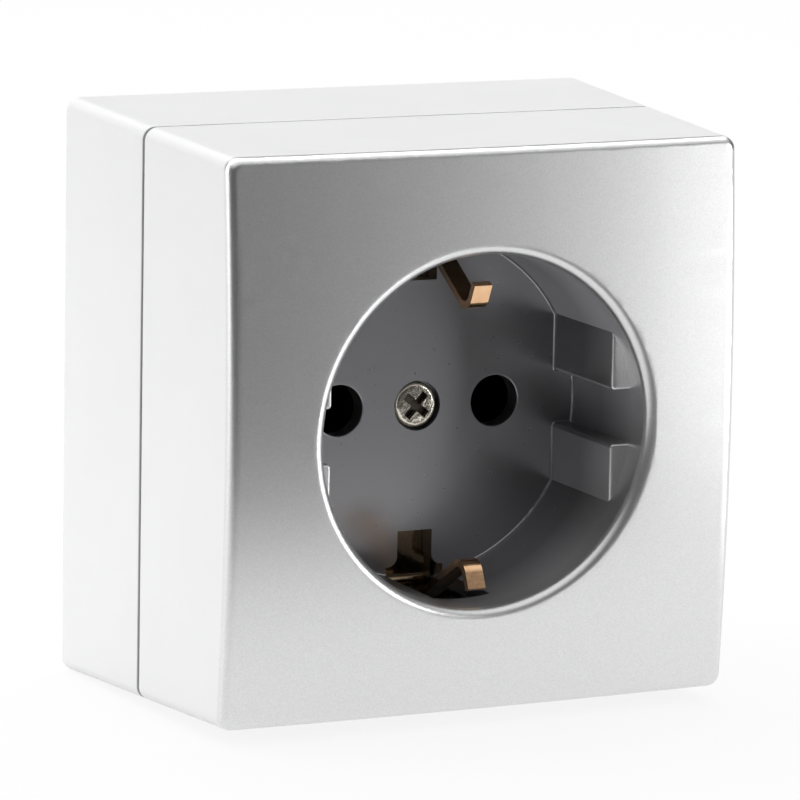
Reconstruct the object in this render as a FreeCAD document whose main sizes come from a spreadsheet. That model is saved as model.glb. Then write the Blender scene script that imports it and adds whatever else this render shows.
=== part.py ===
"""Surface-mounted wall socket for a round two-pin plug with side earth clips.

X runs to the right, Z up and the wall is the plane Y = 0, so that the front looks along -Y. A size
called a depth is a distance from the wall towards the front.
"""

import FreeCAD, Part
import math
import os
import re

import Sketcher

doc = FreeCAD.newDocument("wall_socket")
sheet = doc.addObject("Spreadsheet::Sheet", "Sizes")

SIZES = {
    # outer housing: a tapered square box in two shells with a pillow-shaped front
    "back_width": 64.1,
    "back_height": 64.9,
    "draft_angle": 2.5,
    "seam_depth": 19.5,
    "seam_gap": 0.3,
    "corner_depth": 39.05,
    "bow_upright": 1.3,
    "bow_across": 0.7,
    "shell_wall": 2.0,
    "box_floor": 2.0,
    "corner_radius": 1.5,
    "tongue_length": 1.5,
    "slip_clearance": 0.1,
    "seam_round": 0.3,
    # silver front with its cup
    "skirt_length": 1.5,
    "skirt_wall": 1.5,
    "plate_proud": 1.2,
    "plate_round": 1.0,
    "plate_skin": 1.9,
    "cup_radius": 19.3,
    "cup_wall": 1.6,
    "cup_floor_depth": 24.15,
    "cup_floor": 2.3,
    "rim_round": 1.15,
    "flat_offset": 16.85,
    "guide_depth": 38.0,
    "guide_groove": 6.0,
    "guide_round": 0.3,
    "block_round": 0.4,
    "floor_round": 0.25,
    "hole_round": 0.15,
    "pin_spacing": 19.0,
    "pin_hole": 5.7,
    "head_hole": 5.6,
    "head_hole_deep": 1.5,
    "screw_hole": 4.0,
    # slots that the earth clips stand in
    "slot_inner": 14.0,
    "slot_width": 4.2,
    "slot_root": 18.0,
    "slot_root_width": 7.0,
    "slot_top_depth": 36.0,
    "slot_round": 1.2,
    # earth bow, bent from strip
    "strip_thick": 0.8,
    "bow_root_width": 6.2,
    "clip_width": 2.1,
    "root_offset": 19.9,
    "root_depth": 27.2,
    "clip_corner": 13.52,
    "clip_depth": 37.9,
    "clip_tip_depth": 39.45,
    "clip_tip_out": 3.25,
    "clip_bend": 1.6,
    "bow_bend": 1.5,
    "strip_bend": 1.0,
    "tail_past": 0.5,
    "bow_drop": 0.85,
    "arm_width": 4.4,
    # contacts that clasp the pins
    "clasp_gap": 4.4,
    "clasp_half": 3.6,
    "clasp_front_depth": 19.0,
    "clasp_back_depth": 8.0,
    "tail_width": 4.4,
    "spring_thick": 0.6,
    "spring_back_depth": 12.0,
    "spring_length": 4.0,
    # terminals with their screws
    "terminal_offset": 21.5,
    "terminal_side": 8.0,
    "terminal_length": 9.0,
    "terminal_floor": 1.2,
    "window_width": 5.0,
    "window_deep": 4.5,
    "earth_across": 22.5,
    "earth_down": 15.0,
    "thread_diameter": 3.5,
    "thread_clearance": 0.1,
    "head_diameter": 6.2,
    "head_thick": 2.0,
    "head_round": 0.6,
    "screw_point": 0.5,
    "terminal_round": 0.6,
    "terminal_screw_lift": 1.0,
    "slot_cut": 0.9,
    "slot_cut_deep": 1.0,
    # moulded carrier
    "carrier_half_width": 27.0,
    "carrier_half_height": 11.0,
    "chamber_half_width": 4.4,
    "chamber_half_height": 5.4,
    "chamber_floor_depth": 4.5,
    "carrier_round": 1.0,
    "carrier_wall": 1.5,
    "skirt_drop": 20.0,
    "ear_across": 22.0,
    "ear_up": 16.5,
    "ear_half": 5.0,
    "ear_thick": 3.0,
    "boss_depth": 8.0,
    "boss_diameter": 8.0,
    "boss_hole": 3.0,
    "boss_screw_reach": 4.5,
    "pilot_past": 1.0,
    # centre screw and its nut
    "centre_head": 5.2,
    "centre_head_thick": 1.25,
    "cross_length": 3.4,
    "cross_width": 0.9,
    "cross_deep": 0.9,
    "cross_turn": 40.0,
    "nut_side": 6.0,
    "nut_thick": 2.8,
    "nut_depth": 12.0,
    "nut_chamfer": 0.3,
    "centre_tip_depth": 9.0,
    # fixing to the wall and cable entry
    "wall_screw_offset": 25.5,
    "wall_screw_hole": 4.5,
    "entry_across": 14.0,
    "entry_up": 20.0,
    "entry_diameter": 14.0,
    "seal_lip": 1.5,
    "seal_lip_thick": 0.8,
    "seal_web": 0.8,
    "seal_nipple": 5.0,
    "seal_nipple_tip": 2.2,
    # how far a cutting shape runs past what it cuts
    "cut_past": 2.0,
}

for row, (name, value) in enumerate(SIZES.items(), start=1):
    sheet.set(f"A{row}", name)
    sheet.set(f"B{row}", str(value))
    sheet.setAlias(f"B{row}", name)
doc.recompute()

WORD = re.compile(r"[a-z_]+")


def sized(text):
    """The expression with each size's name pointed at its cell."""
    return WORD.sub(lambda m: "Sizes." + m.group() if m.group() in SIZES else m.group(), text)


def amount(text):
    """The number that an expression on the sizes has now."""
    found = sheet.evalExpression(sized(text))
    return float(getattr(found, "Value", found))


def tie(thing, place, text):
    """Binds a property or a dimension of a thing to an expression on the sizes."""
    thing.setExpression(place, sized(text))


def point(across, up):
    return FreeCAD.Vector(amount(across), amount(up), 0)


class Moulding:
    """A body whose features are drawn on its own planes and go from the wall towards the front."""

    def __init__(self, name):
        self.body = doc.addObject("PartDesign::Body", name)
        self.body.Label = name

    def sketch(self, depth="0", role="XZ_Plane"):
        drawing = self.body.newObject("Sketcher::SketchObject", self.body.Label + "_sketch")
        plane = next(f for f in self.body.Origin.OriginFeatures if f.Role == role)
        drawing.AttachmentSupport = [(plane, "")]
        drawing.MapMode = "FlatFace"
        tie(drawing, "AttachmentOffset.Base.z", depth)
        return drawing

    def feature(self, kind, drawing, length, draft=None, forward=False):
        """A pad or a pocket of the drawing, checked to have changed the solid."""
        before = self.body.Shape.Volume if self.body.Tip else 0
        made = self.body.newObject("PartDesign::" + kind, self.body.Label + "_" + kind)
        made.Profile = drawing
        made.Reversed = forward
        tie(made, "Length", length)
        if draft:
            tie(made, "TaperAngle", draft)
        doc.recompute()
        grew = made.Shape.Volume - before
        if (grew > 0) != (kind == "Pad"):
            raise RuntimeError(f"{made.Name} goes the wrong way")
        return made

    def pad(self, drawing, length, draft=None):
        return self.feature("Pad", drawing, length, draft)

    def pocket(self, drawing, length, draft=None):
        """A cut from the drawing back towards the wall."""
        return self.feature("Pocket", drawing, length, draft)

    def front_pocket(self, drawing, length, draft=None):
        """A cut from the drawing towards the front."""
        return self.feature("Pocket", drawing, length, draft, forward=True)

    def turned(self, kind, drawing, angle):
        """A groove or a revolution about the drawing's own axis."""
        before = self.body.Shape.Volume if self.body.Tip else 0
        made = self.body.newObject("PartDesign::" + kind, self.body.Label + "_" + kind)
        made.Profile = drawing
        made.ReferenceAxis = (drawing, ["Axis0"])
        made.Midplane = True
        tie(made, "Angle", angle)
        doc.recompute()
        if (made.Shape.Volume > before) != (kind == "Revolution"):
            raise RuntimeError(f"{made.Name} changes nothing")
        return made

    def edge_round(self, radius, wanted, kind="Fillet"):
        """Rounds the edges for which the test holds."""
        base = self.body.Tip
        names = [f"Edge{i}" for i, e in enumerate(base.Shape.Edges, start=1) if wanted(e)]
        if not names:
            raise RuntimeError(f"{self.body.Label} has no such edge")
        made = self.body.newObject("PartDesign::" + kind, self.body.Label + "_" + kind)
        made.Base = (base, names)
        tie(made, "Radius" if kind == "Fillet" else "Size", radius)
        doc.recompute()
        if made.Shape.isNull():
            raise RuntimeError(f"{made.Name} fails")
        return made


def dimension(drawing, kind, first, spot, text):
    """Ties one end or centre of a sketch's element to the origin by a signed distance."""
    made = drawing.addConstraint(Sketcher.Constraint(kind, -1, 1, first, spot, amount(text)))
    tie(drawing, f"Constraints[{made}]", text)


def outline(drawing, corners):
    """Closed straight-sided outline through corners given as pairs of expressions."""
    spots = [point(*corner) for corner in corners]
    ends = spots[1:] + spots[:1]
    lines = drawing.addGeometry([Part.LineSegment(a, b) for a, b in zip(spots, ends)], False)
    for here, after in zip(lines, lines[1:] + lines[:1]):
        drawing.addConstraint(Sketcher.Constraint("Coincident", here, 2, after, 1))
    for line, (across, up) in zip(lines, corners):
        dimension(drawing, "DistanceX", line, 1, across)
        dimension(drawing, "DistanceY", line, 1, up)


def rectangle(drawing, left, bottom, right, top):
    outline(drawing, [(left, bottom), (right, bottom), (right, top), (left, top)])


def centred(drawing, width, height):
    """Rectangle about the origin."""
    rectangle(
        drawing, f"-({width}) / 2", f"-({height}) / 2", f"({width}) / 2", f"({height}) / 2"
    )


def circle(drawing, diameter, across="0", up="0"):
    round_line = Part.Circle(point(across, up), FreeCAD.Vector(0, 0, 1), amount(diameter) / 2)
    made = drawing.addGeometry(round_line, False)
    dimension(drawing, "DistanceX", made, 3, across)
    dimension(drawing, "DistanceY", made, 3, up)
    bound = drawing.addConstraint(Sketcher.Constraint("Diameter", made, amount(diameter)))
    tie(drawing, f"Constraints[{bound}]", diameter)


def axis_line(drawing, across):
    """Upright construction line that a groove or a revolution turns about."""
    foot = point(across, "0")
    head = point(across, "cut_past")
    axis = drawing.addGeometry(Part.LineSegment(foot, head), True)
    dimension(drawing, "DistanceX", axis, 1, across)
    dimension(drawing, "DistanceY", axis, 1, "0")
    dimension(drawing, "DistanceY", axis, 2, "cut_past")
    drawing.addConstraint(Sketcher.Constraint("Vertical", axis))


def cut_circle(drawing, radius, half, upright):
    """Circle about the origin, cut off on two sides by chords at a half distance."""
    r = amount(radius)
    half_span = math.asin(amount(half) / r)
    first_middle = math.pi / 2 if upright else 0
    ring = Part.Circle(FreeCAD.Vector(), FreeCAD.Vector(0, 0, 1), r)
    arcs = []
    for middle in (first_middle, first_middle + math.pi):
        arcs.append(Part.ArcOfCircle(ring, middle - half_span, middle + half_span))
    first, second = drawing.addGeometry(arcs, False)
    chords = []
    for here, after in ((first, second), (second, first)):
        start = drawing.getPoint(here, 2)
        end = drawing.getPoint(after, 1)
        line = drawing.addGeometry(Part.LineSegment(start, end), False)
        drawing.addConstraint(Sketcher.Constraint("Coincident", here, 2, line, 1))
        drawing.addConstraint(Sketcher.Constraint("Coincident", line, 2, after, 1))
        drawing.addConstraint(Sketcher.Constraint("Vertical" if upright else "Horizontal", line))
        drawing.addConstraint(Sketcher.Constraint("Coincident", here, 3, -1, 1))
        chords.append(line)
    bound = drawing.addConstraint(Sketcher.Constraint("Radius", first, r))
    tie(drawing, f"Constraints[{bound}]", radius)
    across = "DistanceX" if upright else "DistanceY"
    signs = ("-", "") if upright else ("", "-")
    for line, sign in zip(chords, signs):
        dimension(drawing, across, line, 1, f"{sign}({half})")


def at_depth(depth, edge, slack=0.02):
    """Whether an edge lies wholly at one depth."""
    box = edge.BoundBox
    return abs(-box.YMax - depth) < slack and abs(-box.YMin - depth) < slack


def along_depth(edge):
    """Whether an edge runs mainly from back to front."""
    box = edge.BoundBox
    return box.YLength > max(1, box.XLength, box.ZLength)


def outer_seam_edge(depth):
    """Test for the outer edges of a shell at its seam."""
    outside = amount(width_at("seam_depth")) / 2 - amount("shell_wall") / 4

    def test(edge):
        middle = edge.CenterOfMass
        return at_depth(amount(depth), edge) and max(abs(middle.x), abs(middle.z)) > outside

    return test


def width_at(depth):
    return f"(back_width - 2 * ({depth}) * tan(draft_angle))"


def height_at(depth):
    return f"(back_height - 2 * ({depth}) * tan(draft_angle))"


def crown_cut(piece, proud):
    """Cuts the pillow-shaped front: an upright arc swung about a distant upright axis."""
    front_height = height_at("corner_depth")
    front_width = width_at("corner_depth")
    crown = f"(corner_depth + bow_upright + bow_across + {proud})"
    upright_radius = f"({front_height} ^ 2 / 8 / bow_upright + bow_upright / 2)"
    across_radius = f"({front_width} ^ 2 / 8 / bow_across + bow_across / 2)"
    arc_end = "(back_height / 2 + cut_past)"
    middle = f"({upright_radius} - {crown})"
    far = f"-({crown} + 2 * cut_past)"
    drawing = piece.sketch(role="YZ_Plane")
    radius = amount(upright_radius)
    half = math.asin(amount(arc_end) / radius)
    ring = Part.Circle(point(middle, "0"), FreeCAD.Vector(0, 0, 1), radius)
    arc = drawing.addGeometry(Part.ArcOfCircle(ring, math.pi - half, math.pi + half), False)
    top = drawing.getPoint(arc, 1)
    bottom = drawing.getPoint(arc, 2)
    low_far = point(far, f"-{arc_end}")
    high_far = point(far, arc_end)
    runs = [(bottom, low_far), (low_far, high_far), (high_far, top)]
    lines = drawing.addGeometry([Part.LineSegment(a, b) for a, b in runs], False)
    chain = [arc, *lines]
    for here, after in zip(chain, chain[1:] + chain[:1]):
        drawing.addConstraint(Sketcher.Constraint("Coincident", here, 2, after, 1))
    for line, way in zip(lines, ("Horizontal", "Vertical", "Horizontal")):
        drawing.addConstraint(Sketcher.Constraint(way, line))
    bound = drawing.addConstraint(Sketcher.Constraint("Radius", arc, radius))
    tie(drawing, f"Constraints[{bound}]", upright_radius)
    dimension(drawing, "DistanceX", arc, 3, middle)
    dimension(drawing, "DistanceY", arc, 3, "0")
    dimension(drawing, "DistanceY", lines[0], 1, f"-{arc_end}")
    dimension(drawing, "DistanceY", lines[2], 2, arc_end)
    dimension(drawing, "DistanceX", lines[1], 1, far)
    axis_line(drawing, f"{across_radius} - {crown}")
    piece.turned("Groove", drawing, f"2 * asin((back_width / 2 + cut_past) / {across_radius})")


def back_box():
    """White tray screwed to the wall, with bosses for the carrier and the rear cable entry."""
    piece = Moulding("back_box")
    block = piece.sketch()
    centred(block, "back_width", "back_height")
    piece.pad(block, "seam_depth", "-draft_angle")
    piece.edge_round("corner_radius", along_depth)
    hollow = piece.sketch("seam_depth")
    inner_width = f"{width_at('seam_depth')} - 2 * shell_wall"
    inner_height = f"{height_at('seam_depth')} - 2 * shell_wall"
    centred(hollow, inner_width, inner_height)
    piece.pocket(hollow, "seam_depth - box_floor", "draft_angle")
    rebate = piece.sketch("seam_depth")
    centred(rebate, f"{inner_width} + shell_wall", f"{inner_height} + shell_wall")
    piece.pocket(rebate, "tongue_length + slip_clearance")
    for sign in (1, -1):
        across = f"{-sign} * ear_across"
        up = f"{sign} * ear_up"
        boss = piece.sketch("box_floor / 2")
        circle(boss, "boss_diameter", across, up)
        piece.pad(boss, "boss_depth - box_floor / 2")
        pilot = piece.sketch("boss_depth")
        circle(pilot, "boss_hole", across, up)
        piece.pocket(pilot, "boss_screw_reach + pilot_past")
        fixing = piece.sketch("box_floor")
        circle(fixing, "wall_screw_hole", "0", f"{sign} * wall_screw_offset")
        piece.pocket(fixing, "box_floor")
    entry = piece.sketch("box_floor")
    circle(entry, "entry_diameter", "entry_across", "entry_up")
    piece.pocket(entry, "box_floor")
    lip_seat = piece.sketch("seal_lip_thick + slip_clearance")
    circle(lip_seat, "entry_diameter + 2 * seal_lip", "entry_across", "entry_up")
    piece.pocket(lip_seat, "seal_lip_thick + slip_clearance")
    piece.edge_round("seam_round", outer_seam_edge("seam_depth"))


def mouth_width():
    """Clear width inside the surround frame."""
    return f"({width_at('corner_depth')} - 2 * shell_wall)"


def mouth_height():
    """Clear height inside the surround frame."""
    return f"({height_at('corner_depth')} - 2 * shell_wall)"


def surround_frame():
    """White outer shell between the seam and the silver front, with a tongue into the back box."""
    piece = Moulding("surround_frame")
    foot = "seam_depth + seam_gap"
    block = piece.sketch(foot)
    centred(block, width_at(foot), height_at(foot))
    front = "(corner_depth + bow_upright + bow_across + cut_past)"
    piece.pad(block, f"{front} - ({foot})", "-draft_angle")
    piece.edge_round("corner_radius", along_depth)
    crown_cut(piece, "0")
    tongue = piece.sketch("seam_depth - tongue_length")
    tongue_width = f"{width_at('seam_depth')} - shell_wall - 2 * slip_clearance"
    tongue_height = f"{height_at('seam_depth')} - shell_wall - 2 * slip_clearance"
    centred(tongue, tongue_width, tongue_height)
    piece.pad(tongue, "tongue_length + seam_gap + shell_wall / 2")
    hollow = piece.sketch(front)
    centred(hollow, mouth_width(), mouth_height())
    piece.pocket(hollow, f"{front} - seam_depth + tongue_length")
    piece.edge_round("seam_round", outer_seam_edge(foot))
    return piece.body


def block_corner(edge):
    """Whether an edge runs along the depth at the inner corner of a guide block."""
    middle = edge.CenterOfMass
    across = abs(abs(middle.x) - amount("flat_offset"))
    up = abs(abs(middle.z) - amount("guide_groove / 2"))
    return along_depth(edge) and max(across, up) < 0.01


def guide_edge(edge):
    """Whether an edge bounds the front of a guide block, away from the cup's wall."""
    middle = edge.valueAt((edge.FirstParameter + edge.LastParameter) / 2)
    inside = math.hypot(middle.x, middle.z) < amount("cup_radius") - 0.05
    return at_depth(amount("guide_depth"), edge) and inside


def hole_edge(edge):
    """Whether an edge is the front edge of a pin hole."""
    across = abs(edge.CenterOfMass.x) - amount("pin_spacing / 2")
    return at_depth(amount("cup_floor_depth"), edge) and edge.Closed and abs(across) < 0.01


def face_plate(frame):
    """Silver cover moulded in one with the plug recess, its guide blocks, holes and earth slots.

    It lies on the crowned front edge of the frame, flush with its sides, and a skirt reaches
    into the frame's mouth.
    """
    piece = Moulding("face_plate_blank")
    seat = "(corner_depth - skirt_length)"
    block = piece.sketch(seat)
    centred(block, width_at(seat), height_at(seat))
    front = "(corner_depth + bow_upright + bow_across + plate_proud + cut_past)"
    piece.pad(block, f"{front} - {seat}", "-draft_angle")
    piece.edge_round("corner_radius", along_depth)
    crown_cut(piece, "plate_proud")
    corner = amount("corner_depth")
    piece.edge_round("plate_round", lambda e: -e.BoundBox.YMax > corner)
    beside = piece.sketch(seat)
    centred(beside, f"{width_at(seat)} + cut_past", f"{height_at(seat)} + cut_past")
    skirt_width = f"({mouth_width()} - 2 * slip_clearance)"
    skirt_height = f"({mouth_height()} - 2 * slip_clearance)"
    centred(beside, skirt_width, skirt_height)
    piece.front_pocket(beside, "skirt_length")
    relief = piece.sketch(seat)
    centred(relief, f"{skirt_width} - 2 * skirt_wall", f"{skirt_height} - 2 * skirt_wall")
    skin_back = "(corner_depth + bow_across + plate_proud - plate_skin)"
    piece.front_pocket(relief, f"{skin_back} - {seat}")
    cup = piece.sketch("cup_floor_depth - cup_floor")
    circle(cup, "2 * (cup_radius + cup_wall)")
    piece.pad(cup, f"{skin_back} + plate_skin / 2 - cup_floor_depth + cup_floor")
    mouth = piece.sketch(front)
    circle(mouth, "2 * cup_radius")
    piece.pocket(mouth, f"{front} - guide_depth")
    rim = amount("cup_radius")
    piece.edge_round(
        "rim_round",
        lambda e: -e.BoundBox.YMax > corner and abs(e.BoundBox.XMax - rim) < 0.05,
    )
    well = piece.sketch("guide_depth")
    cut_circle(well, "cup_radius", "flat_offset", True)
    piece.pocket(well, "guide_depth - cup_floor_depth")
    grooves = piece.sketch("guide_depth")
    cut_circle(grooves, "cup_radius", "guide_groove / 2", False)
    piece.pocket(grooves, "guide_depth - cup_floor_depth")
    piece.edge_round("block_round", block_corner)
    piece.edge_round("guide_round", guide_edge)
    floor = amount("cup_floor_depth")
    piece.edge_round("floor_round", lambda e: at_depth(floor, e))
    holes = piece.sketch("cup_floor_depth")
    circle(holes, "pin_hole", "-pin_spacing / 2")
    circle(holes, "pin_hole", "pin_spacing / 2")
    circle(holes, "screw_hole")
    piece.pocket(holes, "cup_floor")
    piece.edge_round("hole_round", hole_edge)
    head = piece.sketch("cup_floor_depth")
    circle(head, "head_hole")
    piece.pocket(head, "head_hole_deep")
    for sign in (1, -1):
        slot = piece.sketch("cup_floor_depth")
        outline(
            slot,
            [
                (f"-{sign} * slot_width / 2", f"{sign} * slot_inner"),
                (f"{sign} * slot_width / 2", f"{sign} * slot_inner"),
                (f"{sign} * slot_width / 2", f"{sign} * slot_root"),
                (f"-{sign} * slot_width / 2", f"{sign} * slot_root"),
            ],
        )
        piece.pocket(slot, "cup_floor")
        root = piece.sketch("slot_top_depth")
        reach = "(cup_radius + cup_wall + cut_past)"
        outline(
            root,
            [
                (f"-{sign} * slot_root_width / 2", f"{sign} * slot_root"),
                (f"{sign} * slot_root_width / 2", f"{sign} * slot_root"),
                (f"{sign} * slot_root_width / 2", f"{sign} * {reach}"),
                (f"-{sign} * slot_root_width / 2", f"{sign} * {reach}"),
            ],
        )
        piece.pocket(root, "slot_top_depth - cup_floor_depth + cup_floor")
    notch = amount("slot_width") / 2
    root_line = amount("slot_root")
    piece.edge_round(
        "slot_round",
        lambda e: e.BoundBox.YLength > 1
        and e.BoundBox.XLength + e.BoundBox.ZLength < 0.01
        and -e.BoundBox.YMin < floor + 0.1
        and abs(abs(e.BoundBox.Center.x) - notch) < 0.05
        and abs(abs(e.BoundBox.Center.z) - root_line) < 0.05,
    )
    trimmed = doc.addObject("Part::Cut", "face_plate")
    trimmed.Label = "face_plate"
    trimmed.Base = piece.body
    trimmed.Tool = frame
    doc.recompute()


def vector(across, depth, up):
    return FreeCAD.Vector(across, -depth, up)


def bent_strip(corners, bend, thick, width, out):
    """Strip bent round corners of its centre line, with its width lying along out."""
    points = [FreeCAD.Vector(*c) for c in corners]
    edges = []
    start = points[0]
    for before, here, after in zip(points, points[1:], points[2:]):
        back = (before - here).normalize()
        ahead = (after - here).normalize()
        half_turn = (math.pi - back.getAngle(ahead)) / 2
        setback = bend * math.tan(half_turn)
        centre = here + (back + ahead).normalize() * (bend / math.cos(half_turn))
        middle = centre + (here - centre).normalize() * bend
        first = here + back * setback
        last = here + ahead * setback
        edges.append(Part.LineSegment(start, first).toShape())
        edges.append(Part.Arc(first, middle, last).toShape())
        start = last
    edges.append(Part.LineSegment(start, points[-1]).toShape())
    path = Part.Wire(edges)
    along = (points[1] - points[0]).normalize()
    side = along.cross(out).normalize() * (thick / 2)
    across = out.normalize() * width
    begin = points[0] - across / 2
    section = Part.makePolygon(
        [begin + side, begin + side + across, begin - side + across, begin - side, begin + side]
    )
    return path.makePipeShell([section], True, False, 1)


def shaped(name, shape):
    """Puts a finished shape in the document as a piece of its own."""
    thing = doc.addObject("Part::Feature", name)
    thing.Label = name
    solid = shape.removeSplitter()
    thing.Shape = solid.Solids[0] if len(solid.Solids) == 1 else solid
    return thing


def block(left, right, near, far, low, high):
    """Box between two places across, two depths and two heights."""
    corner = vector(left, far, low)
    return Part.makeBox(right - left, far - near, high - low, corner)


def rod(across, up, near, far, diameter):
    """Round bar from one depth to another."""
    return Part.makeCylinder(diameter / 2, far - near, vector(across, near, up), vector(0, 1, 0))


def earth_bow():
    """Brass strip across the back of the cup with a sprung clip at each end and a terminal arm."""
    thick = amount("strip_thick")
    web_depth = amount("cup_floor_depth - cup_floor - slip_clearance - strip_thick / 2")
    drop = amount("bow_drop")
    root_offset = amount("root_offset")
    root_depth = amount("root_depth")
    x_out = FreeCAD.Vector(1, 0, 0)
    corners = [
        vector(0, root_depth, -root_offset),
        vector(0, web_depth, -root_offset),
        vector(0, web_depth, root_offset),
        vector(0, root_depth, root_offset),
    ]
    shape = bent_strip(corners, amount("bow_bend"), thick, amount("bow_root_width"), x_out)
    lowest = amount("clip_corner")
    tip = amount("clip_corner + clip_tip_out")
    for sign in (-1, 1):
        finger = [
            vector(0, amount("root_depth - 2 * strip_bend"), sign * root_offset),
            vector(0, root_depth, sign * root_offset),
            vector(0, amount("clip_depth"), sign * lowest),
            vector(0, amount("clip_tip_depth"), sign * tip),
        ]
        clip = bent_strip(finger, amount("clip_bend"), thick, amount("clip_width"), x_out)
        shape = shape.fuse(clip)
    arm_half = amount("arm_width") / 2
    arm_level = -amount("earth_down") + drop
    arm = block(
        -amount("earth_across + terminal_side / 2 + tail_past"),
        0,
        web_depth - thick / 2,
        web_depth + thick / 2,
        arm_level - arm_half,
        arm_level + arm_half,
    )
    shape = shape.fuse(arm)
    hole = amount("screw_hole + 2 * slip_clearance")
    shape = shape.cut(rod(0, drop, web_depth - thick, web_depth + thick, hole))
    bow = shaped("earth_bow", shape)
    bow.Placement = FreeCAD.Placement(FreeCAD.Vector(0, 0, -drop), FreeCAD.Rotation())


def contact(name, side):
    """Brass clasp for one pin: a folded channel open to the front, with a tail to its terminal."""
    thick = amount("strip_thick")
    pin = side * amount("pin_spacing") / 2
    leaf = amount("clasp_gap + strip_thick") / 2
    half = amount("clasp_half")
    near = amount("clasp_back_depth")
    far = amount("clasp_front_depth")
    middle = (near + far) / 2
    channel = [
        vector(pin - leaf, middle, half),
        vector(pin - leaf, middle, -half),
        vector(pin + leaf, middle, -half),
        vector(pin + leaf, middle, half),
    ]
    bend = amount("strip_bend")
    out = FreeCAD.Vector(0, 1, 0)
    shape = bent_strip(channel, bend, thick, far - near, out)
    outer = pin + side * leaf
    tail_end = side * amount("terminal_offset + terminal_side / 2 + tail_past")
    tail_depth = near + thick / 2
    tail = [
        vector(outer, middle, 0),
        vector(outer, tail_depth, 0),
        vector(tail_end, tail_depth, 0),
    ]
    up = FreeCAD.Vector(0, 0, 1)
    shape = shape.fuse(bent_strip(tail, bend, thick, amount("tail_width"), up))
    shaped(name, shape)


def clasp_spring(name, side):
    """Steel clip that presses the two leaves of a clasp together."""
    thick = amount("spring_thick")
    pin = side * amount("pin_spacing") / 2
    leaf = amount("clasp_gap / 2 + strip_thick + slip_clearance / 2 + spring_thick / 2")
    base = amount("clasp_half + strip_thick / 2 + slip_clearance / 2 + spring_thick / 2")
    top = amount("clasp_half")
    middle = amount("spring_back_depth + spring_length / 2")
    channel = [
        vector(pin - leaf, middle, top),
        vector(pin - leaf, middle, -base),
        vector(pin + leaf, middle, -base),
        vector(pin + leaf, middle, top),
    ]
    bend = amount("strip_bend + strip_thick / 2 + slip_clearance / 2 + spring_thick / 2")
    out = FreeCAD.Vector(0, 1, 0)
    shaped(name, bent_strip(channel, bend, thick, amount("spring_length"), out))


def terminal(name, across, up, back):
    """Brass block with a window for tail and wire, and a tapped hole from the front."""
    half = amount("terminal_side") / 2
    far = back + amount("terminal_length")
    window_near = back + amount("terminal_floor")
    window = amount("window_width") / 2
    shape = block(across - half, across + half, back, far, up - half, up + half)
    shape = shape.makeFillet(amount("terminal_round"), [e for e in shape.Edges if along_depth(e)])
    past = half + amount("cut_past")
    gap = block(
        across - past,
        across + past,
        window_near,
        window_near + amount("window_deep"),
        up - window,
        up + window,
    )
    thread = rod(across, up, window_near, back + past + far, amount("thread_diameter"))
    shaped(name, shape.cut(gap.fuse(thread)))


def screw_shape(across, up, tip, seat, head_diameter, head_thick, shank):
    """Round-headed screw along the depth, with its head's underside at the seat."""
    head = rod(across, up, seat, seat + head_thick, head_diameter)
    top = seat + head_thick
    rim = [e for e in head.Edges if abs(-e.BoundBox.Center.y - top) < 0.01 and e.Closed]
    head = head.makeFillet(amount("head_round"), rim)
    stem = rod(across, up, tip, seat + head_thick / 2, shank)
    end = [e for e in stem.Edges if abs(-e.BoundBox.Center.y - tip) < 0.01 and e.Closed]
    stem = stem.makeChamfer(amount("screw_point"), end)
    return head.fuse(stem)


def terminal_screw(name, across, up, back):
    """Slotted screw that clamps the wire in a terminal, drawn back as delivered."""
    shank = amount("thread_diameter - thread_clearance")
    tip = back + amount("terminal_floor + window_deep / 2")
    seat = back + amount("terminal_length + terminal_screw_lift")
    head_thick = amount("head_thick")
    shape = screw_shape(across, up, tip, seat, amount("head_diameter"), head_thick, shank)
    wide = amount("head_diameter")
    half = amount("slot_cut") / 2
    top = seat + head_thick
    floor = top - amount("slot_cut_deep")
    slot = block(across - wide, across + wide, floor, top + wide, up - half, up + half)
    shaped(name, shape.cut(slot))


def centre_screw():
    """Plated pan-head screw with a cross recess that holds the front to the carrier."""
    seat = amount("cup_floor_depth - head_hole_deep")
    tip = amount("centre_tip_depth")
    shank = amount("thread_diameter - thread_clearance")
    thick = amount("centre_head_thick")
    shape = screw_shape(0, 0, tip, seat, amount("centre_head"), thick, shank)
    shape = shape.cut(cross_recess(0, 0, seat + thick, amount("cross_turn")))
    shaped("centre_screw", shape)


def cross_recess(across, up, top, turn):
    """Cross-shaped driver recess, turned as the screw was left."""
    long = amount("cross_length") / 2
    half = amount("cross_width") / 2
    floor = top - amount("cross_deep")
    past = top + amount("cut_past")
    one = block(across - long, across + long, floor, past, up - half, up + half)
    other = block(across - half, across + half, floor, past, up - long, up + long)
    cross = one.fuse(other)
    cross.rotate(vector(across, top, up), FreeCAD.Vector(0, 1, 0), turn)
    return cross


def carrier_screw(name, across, up):
    """Screw through an ear of the carrier into the boss of the back box."""
    seat = amount("boss_depth + ear_thick")
    tip = amount("boss_depth - boss_screw_reach")
    shank = amount("boss_hole - thread_clearance")
    head_thick = amount("head_thick")
    shape = screw_shape(across, up, tip, seat, amount("head_diameter"), head_thick, shank)
    shaped(name, shape.cut(cross_recess(across, up, seat + head_thick, 0)))


def centre_nut():
    """Square nut in the carrier for the centre screw."""
    half = amount("nut_side") / 2
    near = amount("nut_depth")
    far = near + amount("nut_thick")
    shape = block(-half, half, near, far, -half, half)
    shape = shape.makeChamfer(amount("nut_chamfer"), [e for e in shape.Edges if along_depth(e)])
    past = amount("cut_past")
    thread = rod(0, 0, near - past, far + past, amount("thread_diameter"))
    shaped("centre_nut", shape.cut(thread))


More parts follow.
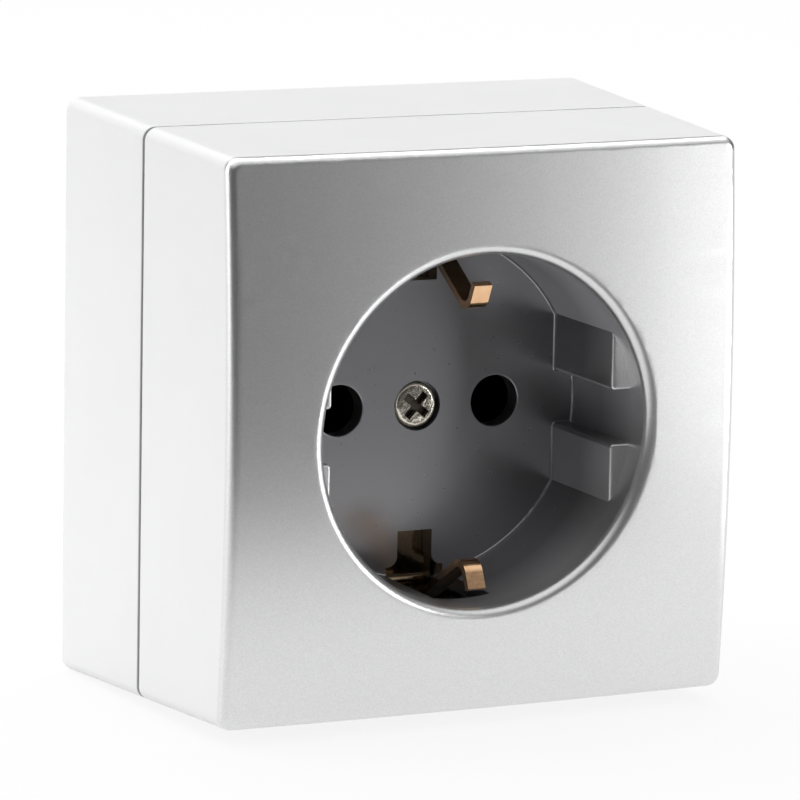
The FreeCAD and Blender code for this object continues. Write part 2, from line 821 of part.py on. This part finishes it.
def cable_seal():
    """Soft membrane with a hollow tapered nipple, buttoned into the rear cable entry."""
    piece = Moulding("cable_seal")
    drawing = piece.sketch("entry_up", "XY_Plane")
    neck = "(entry_diameter / 2 - slip_clearance)"
    lip = "(entry_diameter / 2 + seal_lip - slip_clearance)"
    hollow = f"({neck} - 2 * seal_web)"
    inner_face = "(box_floor + slip_clearance)"
    inner_lip = "(box_floor + seal_lip_thick + slip_clearance)"
    tip = "(box_floor + seal_nipple)"
    section = [
        (hollow, "slip_clearance"),
        (lip, "slip_clearance"),
        (lip, "seal_lip_thick"),
        (neck, "seal_lip_thick"),
        (neck, inner_face),
        (lip, inner_face),
        (lip, inner_lip),
        (f"({neck} - seal_web)", inner_lip),
        ("seal_nipple_tip", tip),
        ("0", tip),
        ("0", f"({tip} - seal_web)"),
        ("(seal_nipple_tip - seal_web / 2)", f"({tip} - seal_web)"),
    ]
    outline(drawing, [(f"entry_across + {out}", f"-{depth}") for out, depth in section])
    axis_line(drawing, "entry_across")
    piece.turned("Revolution", drawing, "360")


def contact_carrier():
    """Moulded insulating block with chambers for clasps, terminals, nut and earth bow."""
    piece = Moulding("contact_carrier")
    front = "(cup_floor_depth - cup_floor)"
    main = piece.sketch("box_floor")
    centred(main, "2 * carrier_half_width", "2 * carrier_half_height")
    piece.pad(main, f"{front} - box_floor")
    piece.edge_round("carrier_round", along_depth)
    skirt = piece.sketch("box_floor")
    shelf = f"{front} - slip_clearance - strip_thick"
    rectangle(
        skirt,
        "-earth_across - terminal_side / 2 - carrier_wall",
        "-skirt_drop",
        "bow_root_width / 2 + carrier_wall",
        "0",
    )
    piece.pad(skirt, f"{shelf} - box_floor")
    upper = piece.sketch("box_floor")
    rectangle(
        upper,
        "-bow_root_width / 2 - carrier_wall",
        "0",
        "bow_root_width / 2 + carrier_wall",
        "skirt_drop - 2 * bow_drop",
    )
    piece.pad(upper, f"{shelf} - box_floor")
    for sign in (1, -1):
        ear = piece.sketch("boss_depth")
        rectangle(
            ear,
            f"-{sign} * ear_across - ear_half",
            f"{min(sign, 0)} * (ear_up + ear_half)",
            f"-{sign} * ear_across + ear_half",
            f"{max(sign, 0)} * (ear_up + ear_half)",
        )
        piece.pad(ear, "ear_thick")
        hole = piece.sketch("boss_depth + ear_thick")
        circle(hole, "boss_hole + 2 * slip_clearance", f"-{sign} * ear_across", f"{sign} * ear_up")
        piece.pocket(hole, "ear_thick")
    for sign in (1, -1):
        chamber = piece.sketch(front)
        middle = f"{sign} * pin_spacing / 2"
        rectangle(
            chamber,
            f"{middle} - chamber_half_width",
            "-chamber_half_height",
            f"{middle} + chamber_half_width",
            "chamber_half_height",
        )
        piece.pocket(chamber, f"{front} - chamber_floor_depth")
        nest = piece.sketch(front)
        place = f"{sign} * terminal_offset"
        half = "(terminal_side / 2 + slip_clearance)"
        rectangle(nest, f"{place} - {half}", f"-{half}", f"{place} + {half}", half)
        piece.pocket(nest, f"{front} - clasp_back_depth + terminal_floor + slip_clearance")
        channel = piece.sketch(front)
        inner = f"{sign} * pin_spacing / 2"
        outer = f"{sign} * (carrier_half_width + cut_past)"
        left, right = (inner, outer) if sign > 0 else (outer, inner)
        reach = "(tail_width / 2 + slip_clearance)"
        rectangle(channel, left, f"-{reach}", right, reach)
        piece.pocket(channel, f"{front} - clasp_back_depth + slip_clearance")
    groove = piece.sketch(front)
    trough = "(bow_root_width / 2 + slip_clearance)"
    past = "(carrier_half_height + cut_past)"
    rectangle(groove, f"-{trough}", f"-{past}", trough, past)
    piece.pocket(groove, "strip_thick + slip_clearance")
    earth_nest = piece.sketch(shelf)
    half = "(terminal_side / 2 + slip_clearance)"
    rectangle(
        earth_nest,
        f"-earth_across - {half}",
        f"-earth_down - {half}",
        f"-earth_across + {half}",
        f"-earth_down + {half}",
    )
    piece.pocket(earth_nest, "terminal_floor + slip_clearance")
    bolt = piece.sketch(front)
    circle(bolt, "screw_hole")
    piece.pocket(bolt, f"{front} - centre_tip_depth + pilot_past")
    trap = piece.sketch("nut_depth + nut_thick + slip_clearance")
    reach = "(nut_side / 2 + slip_clearance)"
    rectangle(trap, f"-{reach}", f"-{reach}", reach, "skirt_drop")
    piece.pocket(trap, "nut_thick + 2 * slip_clearance")


KINDS = ("PartDesign::Body", "Part::Cut", "Part::Feature")


def finish():
    """Checks every object, then writes each piece's solids to its own file."""
    doc.recompute()
    for thing in doc.Objects:
        if "Invalid" in thing.State or "Error" in thing.State:
            raise RuntimeError(f"{thing.Name} is {thing.State}")
    os.makedirs("parts", exist_ok=True)
    for thing in doc.Objects:
        if thing.TypeId not in KINDS or thing.Label.endswith("_blank"):
            continue
        if thing.Shape.isNull() or not thing.Shape.isValid():
            raise RuntimeError(f"{thing.Label} is not a valid shape")
        thing.Shape.exportStep(f"parts/{thing.Label}.step")
        print(thing.Label, len(thing.Shape.Solids), round(thing.Shape.Volume, 1))


back_box()
face_plate(surround_frame())
contact_carrier()
earth_bow()
contact("line_contact", -1)
contact("neutral_contact", 1)
clasp_spring("line_clasp_spring", -1)
clasp_spring("neutral_clasp_spring", 1)
line_back = amount("clasp_back_depth - terminal_floor")
earth_back = amount("cup_floor_depth - cup_floor - slip_clearance - strip_thick - terminal_floor")
PLACES = {
    "line": (-amount("terminal_offset"), 0, line_back),
    "neutral": (amount("terminal_offset"), 0, line_back),
    "earth": (-amount("earth_across"), -amount("earth_down"), earth_back),
}
for pole, (across, up, back) in PLACES.items():
    terminal(f"{pole}_terminal", across, up, back)
    terminal_screw(f"{pole}_terminal_screw", across, up, back)
centre_screw()
centre_nut()
carrier_screw("carrier_screw_left", -amount("ear_across"), amount("ear_up"))
carrier_screw("carrier_screw_right", amount("ear_across"), -amount("ear_up"))
cable_seal()
finish()
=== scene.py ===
"""Looks of a surface-mounted wall socket: white two-part housing, silver front, brass earth clips.

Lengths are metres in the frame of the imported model: the wall is the plane Y = 0, the front looks
along -Y, X runs to the right and Z up.
"""

import math

import bpy
from mathutils import Matrix, Vector


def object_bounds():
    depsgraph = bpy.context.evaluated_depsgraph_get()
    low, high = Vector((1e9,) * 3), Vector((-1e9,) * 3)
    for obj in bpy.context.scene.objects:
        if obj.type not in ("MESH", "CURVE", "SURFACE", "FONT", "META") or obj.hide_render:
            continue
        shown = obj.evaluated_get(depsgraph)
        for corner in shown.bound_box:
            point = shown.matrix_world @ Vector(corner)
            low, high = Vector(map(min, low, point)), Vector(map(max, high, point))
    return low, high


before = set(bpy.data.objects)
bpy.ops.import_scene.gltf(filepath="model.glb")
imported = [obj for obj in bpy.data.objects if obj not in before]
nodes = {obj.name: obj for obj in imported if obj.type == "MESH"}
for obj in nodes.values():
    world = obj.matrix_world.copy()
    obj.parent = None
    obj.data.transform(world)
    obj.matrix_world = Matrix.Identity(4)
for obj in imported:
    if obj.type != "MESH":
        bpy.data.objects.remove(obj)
cad_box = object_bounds()
scene = bpy.context.scene
scene.view_settings.view_transform = "Standard"

# The camera stands left of the socket's axis and a little above it, a long way off for the size
# of the thing, and leans by about a degree.
camera_place = Vector((-0.2591, -0.5544, 0.1071))
camera_forward = Vector((0.4292, 0.8856, -0.1776)).normalized()
camera_up = Vector((0.0602, 0.1681, 0.9839))
camera_data = bpy.data.cameras.new("camera")
camera_data.sensor_width = 36.0
camera_data.lens = 244.9
camera_data.clip_start = 0.01
camera = bpy.data.objects.new("camera", camera_data)
camera_right = camera_forward.cross(camera_up).normalized()
camera_level = camera_right.cross(camera_forward)
turn = Matrix((camera_right, camera_level, -camera_forward)).transposed()
camera.matrix_world = Matrix.Translation(camera_place) @ turn.to_4x4()
scene.collection.objects.link(camera)
scene.camera = camera


# A white table runs under the socket and far back, and melts into a white background without an
# edge. The room that lights the socket is dim, under a white ceiling.
floor_level = cad_box[0][2]
floor_half = 1.2
floor_front = -0.12
floor_back = 0.9
floor_white = (1.0, 1.0, 1.0)
floor_paint = (0.8, 0.8, 0.8)
floor_lit_share = 0.12
room_dim = (0.06, 0.06, 0.06)
ceiling_low = 0.45
ceiling_high = 0.80
seen_by = ("Camera", "Glossy", "Transmission")


class Signal:
    """A node's output that Python's operators turn into Math nodes."""

    def __init__(self, tree, socket):
        self.tree = tree
        self.socket = socket

    def math(self, operation, *operands):
        node = self.tree.nodes.new("ShaderNodeMath")
        node.operation = operation
        for place, operand in zip(node.inputs, operands):
            connect(self.tree, place, operand)
        return Signal(self.tree, node.outputs[0])

    def __add__(self, other):
        return self.math("ADD", self, other)

    def __sub__(self, other):
        return self.math("SUBTRACT", self, other)

    def __rsub__(self, other):
        return self.math("SUBTRACT", other, self)

    def __mul__(self, other):
        return self.math("MULTIPLY", self, other)

    def __abs__(self):
        return self.math("ABSOLUTE", self)

    __radd__ = __add__
    __rmul__ = __mul__


def connect(tree, place, value):
    """Puts a constant on a socket, or runs a link to it."""
    if isinstance(value, Signal):
        tree.links.new(value.socket, place)
    elif place.type == "RGBA":
        place.default_value = (*value, 1.0)
    else:
        place.default_value = value


class Shading:
    """A node tree with one method that adds any node."""

    def __init__(self, tree):
        self.tree = tree
        tree.nodes.clear()

    def node(self, kind, settings=None, output=0, **values):
        """Adds a node, sets it up, fills its sockets and gives one of its outputs."""
        made = self.tree.nodes.new("ShaderNode" + kind)
        for name, setting in (settings or {}).items():
            setattr(made, name, setting)
        for name, value in values.items():
            connect(self.tree, made.inputs[name.replace("_", " ")], value)
        return Signal(self.tree, made.outputs[output]) if made.outputs else None

    def blend(self, factor, first, second):
        """Colour that goes from the first to the second as the factor goes from 0 to 1."""
        return self.node(
            "Mix", {"data_type": "RGBA"}, "Result", Factor=factor, A=first, B=second
        )

    def ramp(self, value, start, end):
        """0 at the start, 1 at the end, even between them and level beyond them."""
        return self.node("MapRange", output="Result", Value=value, From_Min=start, From_Max=end)


def sheet(name, corners):
    """One flat face through four corners."""
    mesh = bpy.data.meshes.new(name)
    mesh.from_pydata(corners, [], [(0, 1, 2, 3)])
    made = bpy.data.objects.new(name, mesh)
    scene.collection.objects.link(made)
    return made


def background_finish(name):
    """White for the camera and in reflections, with a share of lit paint that keeps shadows."""
    material = bpy.data.materials.new(name)
    material.use_nodes = True
    paint = Shading(material.node_tree)
    camera_ray, glossy_ray, through_ray = [
        paint.node("LightPath", output=f"Is {kind} Ray") for kind in seen_by
    ]
    white_share = (camera_ray + glossy_ray + through_ray) * (1 - floor_lit_share)
    matt = paint.node("BsdfDiffuse", Color=floor_paint)
    glow = paint.node("Emission", Color=floor_white, Strength=1.0)
    mixed = paint.tree.nodes.new("ShaderNodeMixShader")
    for place, value in zip(mixed.inputs, (white_share, matt, glow)):
        connect(paint.tree, place, value)
    paint.node("OutputMaterial", Surface=Signal(paint.tree, mixed.outputs[0]))
    return material


floor = sheet(
    "floor",
    [
        (-floor_half, floor_front, floor_level),
        (floor_half, floor_front, floor_level),
        (floor_half, floor_back, floor_level),
        (-floor_half, floor_back, floor_level),
    ],
)
floor.data.materials.append(background_finish("floor_white"))

world = bpy.data.worlds.new("room")
scene.world = world
world.use_nodes = True
air = Shading(world.node_tree)
air_height = air.node("SeparateXYZ", output="Z", Vector=air.node("TexCoord", output="Generated"))
air_light = air.blend(air.ramp(air_height, ceiling_low, ceiling_high), room_dim, floor_white)
air_colour = air.blend(air.node("LightPath", output="Is Camera Ray"), air_light, floor_white)
air.node("OutputWorld", Surface=air.node("Background", Color=air_colour, Strength=1.0))


# Studio lamps: a wide one over the top, one at the left for the white side and a narrow one at the
# right that the silver front mirrors.
lamp_aim = Vector((0.0, -0.02, 0.0))


def softbox(name, place, width, height, power):
    """Rectangular area lamp at a place, turned to face the socket."""
    data = bpy.data.lights.new(name, "AREA")
    data.shape = "RECTANGLE"
    data.size = width
    data.size_y = height
    data.energy = power
    lamp = bpy.data.objects.new(name, data)
    lamp.visible_camera = False
    facing = (lamp_aim - Vector(place)).to_track_quat("-Z", "Y").to_matrix().to_4x4()
    lamp.matrix_world = Matrix.Translation(place) @ facing
    scene.collection.objects.link(lamp)


softbox("lamp_top", place=(0.0, 0.40, 0.9), width=1.8, height=1.0, power=9.0)
softbox("lamp_left", place=(-0.9, 0.36, 0.15), width=0.8, height=0.9, power=6.3)
softbox("lamp_right", place=(0.53, -0.46, -0.12), width=0.30, height=0.8, power=3.2)


# The housing is two white injection-moulded shells, satin, with the fine texture of a spark-eroded
# tool. The front one slides with a tongue into the back one and leaves a hairline seam, whose
# shadow line is painted into the colour as a thin dark grey band.
white_light = (0.86, 0.86, 0.86)
white_shade = (0.82, 0.82, 0.825)
seam_shade_grey = (0.34, 0.34, 0.34)
seam_place = min(corner[1] for corner in nodes["back_box"].bound_box)
seam_dark_half = 0.00008
seam_fade_half = 0.00018
same_point = 0.000002
smooth_limit = math.radians(25)
large_face_weight = 90


class Finish(Shading):
    """A surface material around one Principled shader, reading the object's own coordinates."""

    def __init__(self, name, **constants):
        self.material = bpy.data.materials.new(name)
        self.material.use_nodes = True
        super().__init__(self.material.node_tree)
        self.place = self.node("TexCoord", output="Object")
        self.surface = self.node("BsdfPrincipled", **constants)
        self.node("OutputMaterial", Surface=self.surface)

    def along(self, axis):
        """Distance from the origin along an axis."""
        return self.node("SeparateXYZ", output=axis, Vector=self.place)

    def noise(self, size, detail=2.0):
        """Cloudy noise between 0 and 1 whose spots are about as wide as size."""
        return self.node("TexNoise", Vector=self.place, Scale=1 / size, Detail=detail)

    def flakes(self, size):
        """Cells about as wide as size, each with a value of its own between 0 and 1."""
        cells = self.node("TexVoronoi", output="Color", Vector=self.place, Scale=1 / size)
        return self.node("SeparateColor", Color=cells)

    def clouds(self, dark, light, size, detail=4.0):
        """Colour that drifts between two tones."""
        return self.blend(self.noise(size, detail), dark, light)

    def dullness(self, low, span, size):
        """Roughness that drifts from low to low + span."""
        return self.noise(size) * span + low

    def grain(self, size, depth, detail=2.0):
        """Surface texture whose bumps are about as wide as size."""
        return self.node("Bump", Strength=1.0, Distance=depth, Height=self.noise(size, detail))

    def drive(self, **links):
        """Feeds sockets of the shader with what varies over the surface."""
        shader = self.surface.socket.node
        for name, value in links.items():
            connect(self.tree, shader.inputs[name.replace("_", " ")], value)

    def put_on(self, *pieces):
        """Gives pieces this material and shades their round stretches."""
        for piece in pieces:
            if piece.data.materials:
                piece.material_slots[0].material = self.material
            else:
                piece.data.materials.append(self.material)
            soften(piece)


def smooth_by_angle(limit):
    """Geometry nodes that shade faces smooth and keep edges sharper than the limit."""
    tree = bpy.data.node_groups.new("smooth_by_angle", "GeometryNodeTree")
    tree.interface.new_socket("Geometry", in_out="INPUT", socket_type="NodeSocketGeometry")
    tree.interface.new_socket("Geometry", in_out="OUTPUT", socket_type="NodeSocketGeometry")
    start = tree.nodes.new("NodeGroupInput")
    faces = tree.nodes.new("GeometryNodeSetShadeSmooth")
    edges = tree.nodes.new("GeometryNodeSetShadeSmooth")
    edges.domain = "EDGE"
    angle = tree.nodes.new("GeometryNodeInputMeshEdgeAngle")
    compare = tree.nodes.new("FunctionNodeCompare")
    compare.operation = "LESS_EQUAL"
    compare.inputs["B"].default_value = limit
    end = tree.nodes.new("NodeGroupOutput")
    tree.links.new(start.outputs[0], faces.inputs["Geometry"])
    tree.links.new(faces.outputs["Geometry"], edges.inputs["Geometry"])
    tree.links.new(angle.outputs["Unsigned Angle"], compare.inputs["A"])
    tree.links.new(compare.outputs["Result"], edges.inputs["Shade Smooth"])
    tree.links.new(edges.outputs["Geometry"], end.inputs[0])
    return tree


smoothing = smooth_by_angle(smooth_limit)


def soften(piece):
    """Joins a piece's triangles, shades its round stretches smooth and lets large faces rule."""
    weld = piece.modifiers.new("join", "WELD")
    weld.merge_threshold = same_point
    shade = piece.modifiers.new("shade", "NODES")
    shade.node_group = smoothing
    level = piece.modifiers.new("level", "WEIGHTED_NORMAL")
    level.mode = "FACE_AREA_WITH_ANGLE"
    level.weight = large_face_weight
    level.keep_sharp = True


white = Finish("white_plastic", IOR=1.47)
white_moulded = white.clouds(dark=white_shade, light=white_light, size=0.012, detail=3.0)
# Painted shade: the white turns dark grey in a thin band along the seam, where the gap's shadow falls.
seam_painted_shade = white.ramp(abs(white.along("Y") - seam_place), seam_fade_half, seam_dark_half)
white.drive(
    Base_Color=white.blend(seam_painted_shade, white_moulded, seam_shade_grey),
    Roughness=white.dullness(low=0.31, span=0.06, size=0.004),
    Normal=white.grain(size=0.00035, depth=0.000004, detail=3.0),
)
white.put_on(nodes["back_box"], nodes["surround_frame"])


# The silver front and the plug recess are one moulding, sprayed with a lacquer full of fine
# aluminium flakes that lie at slightly different slants. Deeper in the recess the colour is
# darkened with depth as painted shade, and the lacquer gets smoother.
silver_light = (0.82, 0.82, 0.825)
silver_dark = (0.73, 0.73, 0.735)
silver_recess_shade = (0.36, 0.36, 0.375)
recess_shade_start = -0.0385
recess_shade_full = -0.0310
recess_polish = 0.04
flake_size = 0.0001
flake_wave = 0.00015
flake_slant_depth = 0.000001

silver = Finish("silver_lacquer", Metallic=0.9, IOR=1.5)
sprayed = silver.blend(silver.flakes(flake_size), silver_dark, silver_light)
# Painted shade: the silver darkens towards dark grey with depth into the recess; the same ramp makes it
# smoother.
recess_shade_and_polish = silver.ramp(silver.along("Y"), recess_shade_start, recess_shade_full)
silver.drive(
    Base_Color=silver.blend(recess_shade_and_polish, sprayed, silver_recess_shade),
    Roughness=silver.dullness(low=0.30, span=0.05, size=0.0008) - recess_shade_and_polish * recess_polish,
    Normal=silver.grain(size=flake_wave, depth=flake_slant_depth),
)
silver.put_on(nodes["face_plate"])


# The earth clips are the bent ends of one strip of polished copper alloy. Near the mouth the strip
# shows its bright colour, and deeper down its colour turns dark brown as painted shade of the recess.
brass_shade_start = -0.0365
brass_shade_full = -0.0305
streak_size = 0.0015

brass = Finish("brass_strip", Metallic=1.0)
brass_bright = brass.clouds(dark=(0.66, 0.37, 0.19), light=(0.92, 0.62, 0.38), size=streak_size)
brass_shaded = brass.clouds(dark=(0.16, 0.11, 0.07), light=(0.36, 0.27, 0.18), size=streak_size)
# Painted shade: the brass colour turns dark brown with depth into the recess.
brass_painted_shade = brass.ramp(brass.along("Y"), brass_shade_start, brass_shade_full)
brass.drive(
    Base_Color=brass.blend(brass_painted_shade, brass_bright, brass_shaded),
    Roughness=brass.dullness(low=0.06, span=0.10, size=0.0006),
    Normal=brass.grain(size=0.0008, depth=0.00002),
)
brass.put_on(nodes["earth_bow"], nodes["line_contact"], nodes["neutral_contact"])


# The three terminal blocks are sawn from drawn brass bar and left bare, paler than the strips and
# slightly dull.
bar = Finish("brass_block", Metallic=1.0)
bar.drive(
    Base_Color=bar.clouds(dark=(0.62, 0.46, 0.22), light=(0.78, 0.62, 0.34), size=0.002),
    Roughness=bar.dullness(low=0.24, span=0.15, size=0.0005),
    Normal=bar.grain(size=0.0003, depth=0.000008),
)
bar.put_on(*[nodes[f"{pole}_terminal"] for pole in ("line", "neutral", "earth")])


# The inner screws and the nut are steel with a bright nickel plating, slightly clouded. They clamp
# the wires, hold the carrier to the back box and take the centre screw.
plated = Finish("plated_steel", Metallic=1.0)
plated.drive(
    Base_Color=plated.clouds(dark=(0.50, 0.48, 0.45), light=(0.80, 0.78, 0.74), size=0.0012),
    Roughness=plated.dullness(low=0.16, span=0.12, size=0.0005),
    Normal=plated.grain(size=0.00025, depth=0.000008, detail=3.0),
)
inner_screws = [node for name, node in nodes.items() if name.endswith(("_screw", "_left", "_right"))]
inner_screws.remove(nodes["centre_screw"])
plated.put_on(nodes["centre_nut"], *inner_screws)


# The centre screw holds the front and shows its pan head in the recess. The head is worn bright,
# and its cross recess is rougher and painted dark with depth as painted shade.
head_front = min(corner[1] for corner in nodes["centre_screw"].bound_box)
cross_rim = head_front + 0.0003
cross_bottom = head_front + 0.0007
cross_shade_dark = (0.09, 0.08, 0.07)
cross_dullness = 0.2

polished = Finish("polished_screw_head", Metallic=1.0)
# Painted shade: the cross recess darkens with depth; the same ramp makes it rougher.
cross_shade_and_dullness = polished.ramp(polished.along("Y"), cross_rim, cross_bottom)
head_tone = polished.clouds(dark=(0.60, 0.55, 0.46), light=(0.95, 0.90, 0.80), size=0.0008)
polished.drive(
    Base_Color=polished.blend(cross_shade_and_dullness, head_tone, cross_shade_dark),
    Roughness=polished.dullness(low=0.14, span=0.14, size=0.0004) + cross_shade_and_dullness * cross_dullness,
    Normal=polished.grain(size=0.0007, depth=0.00006),
)
polished.put_on(nodes["centre_screw"])


# The springs round the clasps are bent from blued spring steel strip. They grip over the clasps
# and press them on the pins.
spring = Finish("spring_steel", Metallic=1.0)
spring.drive(
    Base_Color=spring.clouds(dark=(0.30, 0.31, 0.34), light=(0.46, 0.46, 0.48), size=0.003, detail=3.0),
    Roughness=spring.dullness(low=0.26, span=0.12, size=0.0006),
    Normal=spring.grain(size=0.0003, depth=0.000006),
)
spring.put_on(nodes["line_clasp_spring"], nodes["neutral_clasp_spring"])


# The carrier is a dark grey thermoset moulding, dull and slightly grainy, screwed to the back box
# by its two ears.
carrier = Finish("carrier_plastic", IOR=1.5)
carrier.drive(
    Base_Color=carrier.clouds(dark=(0.012, 0.012, 0.012), light=(0.03, 0.03, 0.03), size=0.0009),
    Roughness=carrier.dullness(low=0.5, span=0.15, size=0.001),
    Normal=carrier.grain(size=0.0005, depth=0.00001, detail=3.0),
)
carrier.put_on(nodes["contact_carrier"])


# The seal in the rear cable entry is a soft grey rubber membrane with a matt bloom, pushed into
# its hole.
rubber = Finish("seal_rubber", IOR=1.5)
rubber.drive(
    Base_Color=rubber.clouds(dark=(0.16, 0.16, 0.16), light=(0.24, 0.24, 0.24), size=0.002),
    Roughness=rubber.dullness(low=0.6, span=0.15, size=0.001),
    Normal=rubber.grain(size=0.0006, depth=0.00001, detail=3.0),
)
rubber.put_on(nodes["cable_seal"])
